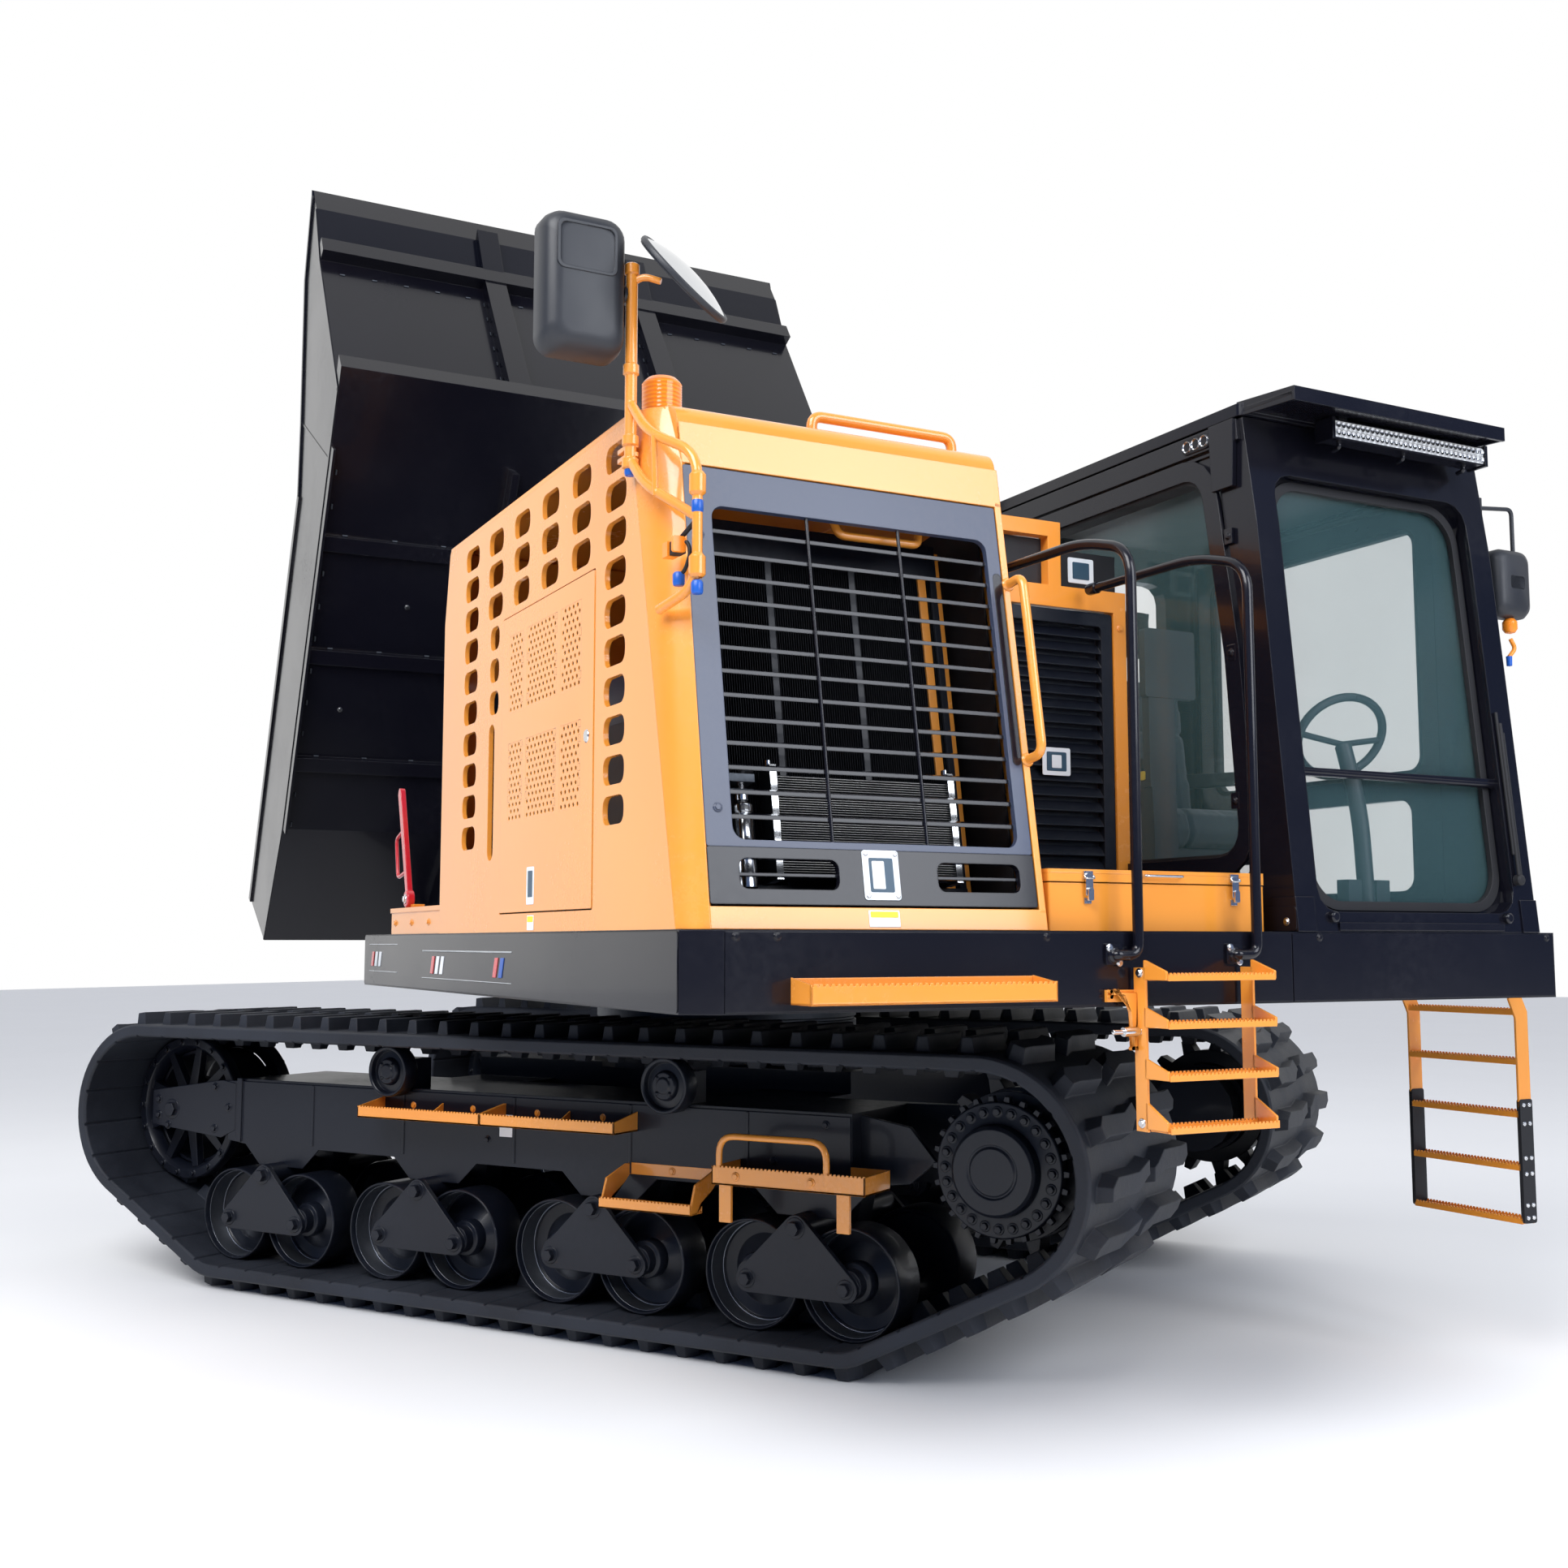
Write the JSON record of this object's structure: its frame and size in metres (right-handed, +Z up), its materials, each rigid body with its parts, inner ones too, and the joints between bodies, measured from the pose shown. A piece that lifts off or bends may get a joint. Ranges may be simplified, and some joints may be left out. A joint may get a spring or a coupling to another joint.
{
  "type": "crawler dump carrier",
  "caption": "Rubber-track crawler carrier with a slewing upper structure: tipping dump bed, louvred engine housing, glazed cab, bogie tracks, ladders and mirrors.",
  "frame": {"origin": "on the slew axis, at the underside of the undercarriage's belly plate, 0.45 m above the ground", "axes": "+X forward along the tracks, +Y towards the left-hand track, +Z up along the slew axis"},
  "size_m": [7.2432, 6.1786, 5.4938],
  "materials": {
    "yellow_paint": "gloss",
    "black_paint": "gloss",
    "grey_paint": "satin",
    "red_paint": "gloss",
    "track_rubber": "matte",
    "dark_plastic": "matte",
    "seat_fabric": "woven",
    "clear_glass": "polished",
    "amber_lens": "gloss",
    "bare_steel": "brushed",
    "mirror_face": "polished"
  },
  "bodies": {
    "root": {"chassis": "black_paint", "slew_ring": "bare_steel", "track_frame_right": "black_paint", "track_frame_left": "black_paint", "rubber_track_right": "track_rubber", "rubber_track_left": "track_rubber", "step_tray": "yellow_paint", "c_step": "yellow_paint", "railed_step": "yellow_paint"},
    "upper": {"deck": "black_paint", "engine_housing": "yellow_paint", "radiator": "black_paint", "engine_block": "grey_paint", "hood_rail": "yellow_paint", "guard_frame": "yellow_paint", "mirror_mast": "yellow_paint", "beacon": "amber_lens", "toolbox": "yellow_paint", "handrail_right": "black_paint", "handrail_left": "black_paint", "step_bar": "yellow_paint", "cab_frame": "black_paint", "windshield": "clear_glass", "cab_glass_right": "clear_glass", "cab_roof": "black_paint", "seat": "seat_fabric", "control_console": "dark_plastic"},
    "idler_right": {"idler_right": "black_paint"},
    "sprocket_right": {"sprocket_right": "black_paint"},
    "carrier_roller_right_1": {"carrier_roller_right_1": "black_paint"},
    "carrier_roller_right_2": {"carrier_roller_right_2": "black_paint"},
    "bogie_right_1": {"bogie_right_1": "black_paint"},
    "bogie_right_2": {"bogie_right_2": "black_paint"},
    "bogie_right_3": {"bogie_right_3": "black_paint"},
    "bogie_right_4": {"bogie_right_4": "black_paint"},
    "idler_left": {"idler_left": "black_paint"},
    "sprocket_left": {"sprocket_left": "black_paint"},
    "carrier_roller_left_1": {"carrier_roller_left_1": "black_paint"},
    "carrier_roller_left_2": {"carrier_roller_left_2": "black_paint"},
    "bogie_left_1": {"bogie_left_1": "black_paint"},
    "bogie_left_2": {"bogie_left_2": "black_paint"},
    "bogie_left_3": {"bogie_left_3": "black_paint"},
    "bogie_left_4": {"bogie_left_4": "black_paint"},
    "bed": {"bed": "black_paint"},
    "hoist_barrel_right": {"hoist_barrel_right": "black_paint"},
    "hoist_barrel_left": {"hoist_barrel_left": "black_paint"},
    "hoist_rod_right": {"hoist_rod_right": "bare_steel"},
    "hoist_rod_left": {"hoist_rod_left": "bare_steel"},
    "service_door": {"service_door": "yellow_paint"},
    "grille_door": {"grille_door": "grey_paint"},
    "guard_door": {"guard_door": "black_paint"},
    "cab_door": {"cab_door": "black_paint"},
    "toolbox_lid": {"toolbox_lid": "yellow_paint"},
    "front_ladder": {"front_ladder": "yellow_paint"},
    "side_ladder": {"side_ladder": "yellow_paint"},
    "safety_lever": {"safety_lever": "red_paint"},
    "mirror_right": {"mirror_right": "dark_plastic"},
    "mirror_convex": {"mirror_convex": "mirror_face"},
    "mirror_left": {"mirror_left": "dark_plastic"},
    "wiper": {"wiper": "black_paint"}
  },
  "joints": [
    {"name": "slew", "type": "hinge", "parent": "root", "child": "upper", "pos_m": [0, 0, 0.6], "axis": [0, 0, 1], "continuous": true},
    {"name": "idler_right_spin", "type": "hinge", "parent": "root", "child": "idler_right", "pos_m": [-1.94, -1.07, 0.217], "axis": [0, 1, 0], "continuous": true},
    {"name": "sprocket_right_spin", "type": "hinge", "parent": "root", "child": "sprocket_right", "pos_m": [1.81, -1.07, 0.217], "axis": [0, 1, 0], "continuous": true},
    {"name": "carrier_roller_right_1_spin", "type": "hinge", "parent": "root", "child": "carrier_roller_right_1", "pos_m": [-0.667, -1.34, 0.426], "axis": [0, 1, 0], "continuous": true},
    {"name": "carrier_roller_right_2_spin", "type": "hinge", "parent": "root", "child": "carrier_roller_right_2", "pos_m": [0.603, -1.34, 0.426], "axis": [0, 1, 0], "continuous": true},
    {"name": "bogie_right_1_rock", "type": "hinge", "parent": "root", "child": "bogie_right_1", "pos_m": [-1.291, -1.07, -0.005], "axis": [0, 1, 0], "range_deg": [-6, 6], "deforming": ["rubber_track_right"]},
    {"name": "bogie_right_2_rock", "type": "hinge", "parent": "root", "child": "bogie_right_2", "pos_m": [-0.482, -1.07, -0.005], "axis": [0, 1, 0], "range_deg": [-6, 6], "deforming": ["rubber_track_right"]},
    {"name": "bogie_right_3_rock", "type": "hinge", "parent": "root", "child": "bogie_right_3", "pos_m": [0.327, -1.07, -0.005], "axis": [0, 1, 0], "range_deg": [-6, 6], "deforming": ["rubber_track_right"]},
    {"name": "bogie_right_4_rock", "type": "hinge", "parent": "root", "child": "bogie_right_4", "pos_m": [1.136, -1.07, -0.005], "axis": [0, 1, 0], "range_deg": [-6, 6], "deforming": ["rubber_track_right"]},
    {"name": "idler_left_spin", "type": "hinge", "parent": "root", "child": "idler_left", "pos_m": [-1.94, 1.07, 0.217], "axis": [0, 1, 0], "continuous": true},
    {"name": "sprocket_left_spin", "type": "hinge", "parent": "root", "child": "sprocket_left", "pos_m": [1.81, 1.07, 0.217], "axis": [0, 1, 0], "continuous": true},
    {"name": "carrier_roller_left_1_spin", "type": "hinge", "parent": "root", "child": "carrier_roller_left_1", "pos_m": [-0.667, 1.34, 0.426], "axis": [0, 1, 0], "continuous": true},
    {"name": "carrier_roller_left_2_spin", "type": "hinge", "parent": "root", "child": "carrier_roller_left_2", "pos_m": [0.603, 1.34, 0.426], "axis": [0, 1, 0], "continuous": true},
    {"name": "bogie_left_1_rock", "type": "hinge", "parent": "root", "child": "bogie_left_1", "pos_m": [-1.291, 1.07, -0.005], "axis": [0, 1, 0], "range_deg": [-6, 6], "deforming": ["rubber_track_left"]},
    {"name": "bogie_left_2_rock", "type": "hinge", "parent": "root", "child": "bogie_left_2", "pos_m": [-0.482, 1.07, -0.005], "axis": [0, 1, 0], "range_deg": [-6, 6], "deforming": ["rubber_track_left"]},
    {"name": "bogie_left_3_rock", "type": "hinge", "parent": "root", "child": "bogie_left_3", "pos_m": [0.327, 1.07, -0.005], "axis": [0, 1, 0], "range_deg": [-6, 6], "deforming": ["rubber_track_left"]},
    {"name": "bogie_left_4_rock", "type": "hinge", "parent": "root", "child": "bogie_left_4", "pos_m": [1.136, 1.07, -0.005], "axis": [0, 1, 0], "range_deg": [-6, 6], "deforming": ["rubber_track_left"]},
    {"name": "bed_tilt", "type": "hinge", "parent": "upper", "child": "bed", "pos_m": [-2.60282, 1.68384, 0.97], "axis": [0.5432, 0.8396, 0], "range_deg": [0, 61.5]},
    {"name": "hoist_right_swing", "type": "hinge", "parent": "upper", "child": "hoist_barrel_right", "pos_m": [-0.59758, 0.08884, 0.81], "axis": [0.5432, 0.8396, 0], "range_deg": [-18.65, 0.3]},
    {"name": "hoist_right_stroke", "type": "slide", "parent": "hoist_barrel_right", "child": "hoist_rod_right", "axis": [-0.7878, 0.5097, 0.3458], "range_m": [-0.44465, 0.002]},
    {"name": "hoist_left_swing", "type": "hinge", "parent": "upper", "child": "hoist_barrel_left", "pos_m": [-0.326, 0.50865, 0.81], "axis": [0.5432, 0.8396, 0], "range_deg": [-18.65, 0.3]},
    {"name": "hoist_left_stroke", "type": "slide", "parent": "hoist_barrel_left", "child": "hoist_rod_left", "axis": [-0.7878, 0.5097, 0.3458], "range_m": [-0.44465, 0.002]},
    {"name": "grille_door_swing", "type": "hinge", "parent": "upper", "child": "grille_door", "pos_m": [1.70129, -2.80376, 1.00522], "axis": [0.1348, -0.0872, -0.987], "range_deg": [0, 85]},
    {"name": "service_door_swing", "type": "hinge", "parent": "upper", "child": "service_door", "pos_m": [0.4581, -2.08288, 1.007], "axis": [0, 0, -1], "range_deg": [0, 88]},
    {"name": "guard_door_swing", "type": "hinge", "parent": "upper", "child": "guard_door", "pos_m": [2.04022, -0.90576, 0.992], "axis": [0, 0, -1], "range_deg": [0, 88]},
    {"name": "cab_door_swing", "type": "hinge", "parent": "upper", "child": "cab_door", "pos_m": [2.00916, 0.3736, 1.024], "axis": [0, 0, 1], "range_deg": [0, 150]},
    {"name": "toolbox_lid_swing", "type": "hinge", "parent": "upper", "child": "toolbox_lid", "pos_m": [2.14943, -1.39053, 1.078], "axis": [-0.5432, -0.8396, 0], "range_deg": [0, 95]},
    {"name": "front_ladder_swing", "type": "hinge", "parent": "upper", "child": "front_ladder", "pos_m": [2.60661, -1.47786, 0.84], "axis": [0, 0, 1], "range_deg": [0, 90]},
    {"name": "side_ladder_swing", "type": "hinge", "parent": "upper", "child": "side_ladder", "pos_m": [2.91669, -0.09406, 0.84], "axis": [0.8396, -0.5432, 0], "range_deg": [0, 40]},
    {"name": "safety_lever_throw", "type": "hinge", "parent": "upper", "child": "safety_lever", "pos_m": [-0.54821, -1.39971, 1.08], "axis": [0.5432, 0.8396, 0], "range_deg": [0, 40]},
    {"name": "mirror_right_turn", "type": "hinge", "parent": "upper", "child": "mirror_right", "pos_m": [1.39151, -2.70936, 2.6], "axis": [0, 0, 1], "range_deg": [-25, 25]},
    {"name": "mirror_convex_turn", "type": "hinge", "parent": "upper", "child": "mirror_convex", "pos_m": [1.51424, -2.65774, 2.63], "axis": [0, 0, 1], "range_deg": [-20, 20]},
    {"name": "mirror_left_turn", "type": "hinge", "parent": "upper", "child": "mirror_left", "pos_m": [3.11006, -0.33825, 2.35], "axis": [0, 0, 1], "range_deg": [0, 60]},
    {"name": "wiper_sweep", "type": "hinge", "parent": "upper", "child": "wiper", "pos_m": [3.23644, -0.50374, 1.11], "axis": [0.8356, -0.5406, 0.0978], "range_deg": [0, 80]}
  ],
  "couplings": [
    {"joint": "hoist_right_swing", "follows": "bed_tilt", "ratio": -0.29835},
    {"joint": "hoist_right_stroke", "follows": "bed_tilt", "m_per_rad": -0.41239},
    {"joint": "hoist_left_swing", "follows": "bed_tilt", "ratio": -0.29835},
    {"joint": "hoist_left_stroke", "follows": "bed_tilt", "m_per_rad": -0.41239}
  ]
}
